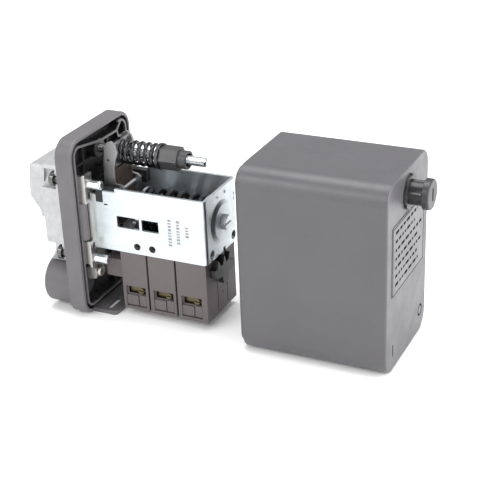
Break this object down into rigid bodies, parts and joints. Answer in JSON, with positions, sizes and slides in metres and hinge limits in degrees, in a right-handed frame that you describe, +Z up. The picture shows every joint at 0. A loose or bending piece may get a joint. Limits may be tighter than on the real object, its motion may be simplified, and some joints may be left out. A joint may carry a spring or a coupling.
{
  "type": "pressure switch",
  "caption": "Opened pressure switch: cast port body, plastic base tray, sprung lever frame, contact block and a slide-off box cover with a captive screw.",
  "frame": {"origin": "centre of the pressure port's mouth", "axes": "+X from the port to the cover's closed end, +Y depth, +Z up with the switch lying on its cable-entry edge"},
  "size_m": [0.212, 0.06, 0.098],
  "materials": {
    "cast_metal": "cast, tumbled satin",
    "rubber": "smooth",
    "white_plastic": "smooth",
    "tray_plastic": "fine moulded grain",
    "nickel_steel": "nickel plated, satin",
    "zinc_steel": "bright zinc plated",
    "zinc_sheet": "bright zinc plated sheet",
    "grey_steel": "phosphated sheet",
    "black_plastic": "moulded",
    "brown_laminate": "insulating laminate",
    "black_spring_steel": "oiled black wire",
    "black_steel": "black oxide",
    "block_plastic": "thermoset, fine grain",
    "brass": "stamped",
    "silver": "silver contact",
    "cover_plastic": "fine moulded grain",
    "label": "smooth satin film",
    "screw_plastic": "smooth moulded"
  },
  "bodies": {
    "base": {"pressure_body": "cast_metal", "diaphragm": "rubber", "base_tray": "tray_plastic", "mounting_yoke": "nickel_steel", "yoke_screws": "zinc_steel", "earth_clamps": "nickel_steel", "earth_screws": "nickel_steel", "frame_bracket": "zinc_sheet", "pin_bearings": "black_plastic", "pivot_pin": "zinc_steel", "main_spring": "black_spring_steel", "differential_stud": "zinc_steel", "differential_spring": "black_spring_steel", "contact_block": "block_plastic", "block_lid": "block_plastic", "block_screws": "zinc_steel", "terminal_covers": "block_plastic", "line_terminals": "brass", "load_terminals": "brass", "terminal_screws": "brass", "fixed_contacts": "silver"},
    "plunger": {"plunger": "white_plastic"},
    "lever": {"lever": "grey_steel", "insulating_panel": "brown_laminate", "panel_rivets": "brass", "main_spring_foot": "zinc_steel", "differential_foot": "black_steel"},
    "spring_plate": {"main_spring_plate": "zinc_steel"},
    "adjusting_screw": {"adjusting_screw": "zinc_steel"},
    "differential_washer": {"differential_washer": "black_steel"},
    "differential_nut": {"differential_nut": "black_steel"},
    "contact_carrier": {"contact_carrier": "black_plastic", "moving_bridges": "brass", "bridge_contacts": "silver", "contact_springs": "zinc_steel", "actuator_clip": "black_plastic"},
    "cover": {"cover_shell": "cover_plastic", "cover_label": "label", "cover_bush": "screw_plastic"},
    "cover_screw_ring": {"cover_screw_ring": "zinc_steel"},
    "cover_screw": {"cover_screw": "screw_plastic"}
  },
  "joints": [
    {"name": "lever_pivot", "type": "hinge", "parent": "base", "child": "lever", "pos_m": [0.0493, 0, 0.0057], "axis": [0, -1, 0], "range_deg": [0, 4], "stiffness_Nm_per_rad": 4, "springref_deg": -1.15, "deforming": ["main_spring", "differential_spring"]},
    {"name": "plunger_slide", "type": "slide", "parent": "base", "child": "plunger", "axis": [1, 0, 0], "range_m": [0, 0.0012]},
    {"name": "carrier_slide", "type": "slide", "parent": "base", "child": "contact_carrier", "axis": [1, 0, 0], "range_m": [0, 0.0025]},
    {"name": "spring_plate_slide", "type": "slide", "parent": "base", "child": "spring_plate", "axis": [1, 0, 0], "range_m": [-0.01, 0], "deforming": ["main_spring"]},
    {"name": "adjusting_screw_turn", "type": "hinge", "parent": "base", "child": "adjusting_screw", "pos_m": [0.1045, 0, -0.007], "axis": [1, 0, 0], "range_deg": [-3600, 0]},
    {"name": "differential_washer_slide", "type": "slide", "parent": "base", "child": "differential_washer", "axis": [1, 0, 0], "range_m": [-0.008, 0], "deforming": ["differential_spring"]},
    {"name": "differential_nut_turn", "type": "hinge", "parent": "differential_washer", "child": "differential_nut", "pos_m": [0.0745, 0, 0.024], "axis": [1, 0, 0], "range_deg": [-3600, 0]},
    {"name": "cover_slide", "type": "slide", "parent": "base", "child": "cover", "axis": [1, 0, 0], "range_m": [-0.0917, 0]},
    {"name": "cover_screw_pull", "type": "slide", "parent": "cover", "child": "cover_screw_ring", "axis": [1, 0, 0], "range_m": [-0.0065, 0]},
    {"name": "cover_screw_turn", "type": "hinge", "parent": "cover_screw_ring", "child": "cover_screw", "pos_m": [0.1945, 0, 0.024], "axis": [1, 0, 0], "continuous": true}
  ],
  "couplings": [
    {"joint": "plunger_slide", "follows": "lever_pivot", "m_per_rad": 0.0127},
    {"joint": "carrier_slide", "follows": "lever_pivot", "m_per_rad": 0.0305},
    {"joint": "adjusting_screw_turn", "follows": "spring_plate_slide", "rad_per_m": 6283.2},
    {"joint": "differential_nut_turn", "follows": "differential_washer_slide", "rad_per_m": 7854}
  ]
}
